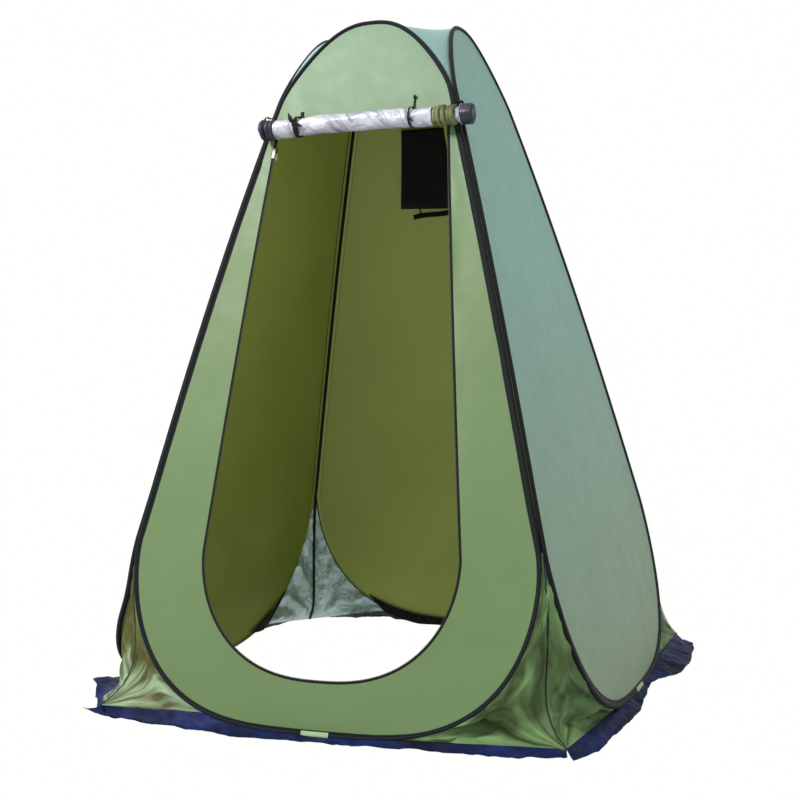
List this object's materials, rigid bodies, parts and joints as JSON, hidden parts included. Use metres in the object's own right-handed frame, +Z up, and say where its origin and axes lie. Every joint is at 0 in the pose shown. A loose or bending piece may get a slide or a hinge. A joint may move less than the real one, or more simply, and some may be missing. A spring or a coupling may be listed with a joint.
{
  "type": "privacy shower tent",
  "caption": "Pop-up privacy shower tent: leaning sprung-hoop walls joined at the corners, a rolled-up door, corner gussets, ground skirts and an open floor.",
  "frame": {"origin": "on the ground, under the middle of the tent", "axes": "+Z up, doorway facing -Y, +X to the right of someone who looks at the doorway from outside"},
  "size_m": [1.54, 1.51, 1.9],
  "materials": {
    "sage_cloth": "satin coated polyester, sage green",
    "blue_sage_cloth": "satin coated polyester, sage green that reads bluish where it faces the sky",
    "gusset_cloth": "crinkled coated polyester, olive green outside and silver inside",
    "skirt_cloth": "coated polyester, navy, slight sheen",
    "binding": "woven binding tape, near black",
    "joint_tab_cloth": "folded cloth tab, pale green",
    "silver_cloth": "silver coating, crinkled",
    "black_cloth": "matt black mesh and webbing",
    "spring_steel": "spring steel",
    "zip_metal": "dark enamelled zinc",
    "pull_plastic": "cream plastic",
    "toggle_plastic": "black plastic"
  },
  "bodies": {
    "front_wall": {"front_hoop_wire": "spring_steel", "front_hoop_ferrule": "spring_steel", "front_binding_sleeve": "binding", "front_joint_tab": "joint_tab_cloth", "front_gusset_left": "gusset_cloth", "front_gusset_right": "gusset_cloth", "front_skirt": "skirt_cloth", "front_panel": "sage_cloth", "roof": "sage_cloth", "door_zip_tape": "binding", "door_roll": "silver_cloth", "door_hem_left": "skirt_cloth", "door_coil_right": "gusset_cloth", "door_hem_right": "skirt_cloth", "door_tie_left": "black_cloth", "door_tie_right": "black_cloth", "door_tie_left_toggle": "toggle_plastic", "door_tie_right_toggle": "toggle_plastic", "guy_tab_front_right": "binding", "guy_tab_front_left": "binding"},
    "right_wall": {"right_hoop_wire": "spring_steel", "right_hoop_ferrule": "spring_steel", "right_binding_sleeve": "binding", "right_joint_tab": "joint_tab_cloth", "right_gusset_left": "gusset_cloth", "right_gusset_right": "gusset_cloth", "right_skirt": "skirt_cloth", "right_panel": "blue_sage_cloth"},
    "left_wall": {"left_hoop_wire": "spring_steel", "left_hoop_ferrule": "spring_steel", "left_binding_sleeve": "binding", "left_joint_tab": "joint_tab_cloth", "left_gusset_left": "gusset_cloth", "left_gusset_right": "gusset_cloth", "left_skirt": "skirt_cloth", "left_panel": "blue_sage_cloth"},
    "back_wall": {"back_hoop_wire": "spring_steel", "back_hoop_ferrule": "spring_steel", "back_binding_sleeve": "binding", "back_joint_tab": "joint_tab_cloth", "back_gusset_left": "gusset_cloth", "back_gusset_right": "gusset_cloth", "back_skirt": "skirt_cloth", "back_panel": "blue_sage_cloth", "pocket_front": "black_cloth", "pocket_edge": "black_cloth", "towel_strap": "black_cloth", "towel_strap_link": "black_cloth"},
    "zip_slider": {"zip_slider": "zip_metal"},
    "zip_pull_outer": {"zip_pull_outer": "pull_plastic"},
    "zip_pull_inner": {"zip_pull_inner": "pull_plastic"}
  },
  "joints": [
    {"name": "right_wall_fold", "type": "hinge", "parent": "front_wall", "child": "right_wall", "pos_m": [0.677, -0.677, 0], "axis": [-0.2427, 0.2427, 0.9392], "range_deg": [0, 88], "deforming": ["roof", "front_gusset_right", "right_gusset_left"]},
    {"name": "left_wall_fold", "type": "hinge", "parent": "front_wall", "child": "left_wall", "pos_m": [-0.7085, -0.7085, 0], "axis": [0.2357, 0.2357, 0.9428], "range_deg": [0, 86.29], "deforming": ["front_gusset_left", "left_gusset_right", "left_gusset_left"]},
    {"name": "back_wall_fold", "type": "hinge", "parent": "right_wall", "child": "back_wall", "pos_m": [0.7085, 0.7085, 0], "axis": [-0.2357, -0.2357, 0.9428], "range_deg": [-82.77, 0], "deforming": ["right_gusset_right", "back_gusset_left", "back_gusset_right"]},
    {"name": "zip_slide", "type": "slide", "parent": "front_wall", "child": "zip_slider", "axis": [-0.0918, -0.2664, -0.9595], "range_m": [0, 0.3]},
    {"name": "outer_pull_swing", "type": "hinge", "parent": "zip_slider", "child": "zip_pull_outer", "pos_m": [-0.25655, -0.31053, 1.54656], "axis": [-0.9955, 0, 0.0953], "range_deg": [0, 150]},
    {"name": "inner_pull_swing", "type": "hinge", "parent": "zip_slider", "child": "zip_pull_inner", "pos_m": [-0.25685, -0.29915, 1.54344], "axis": [0.9955, 0, -0.0953], "range_deg": [-6, 140]}
  ],
  "couplings": [
    {"joint": "left_wall_fold", "follows": "right_wall_fold", "ratio": 0.98},
    {"joint": "back_wall_fold", "follows": "right_wall_fold", "ratio": -0.94}
  ]
}
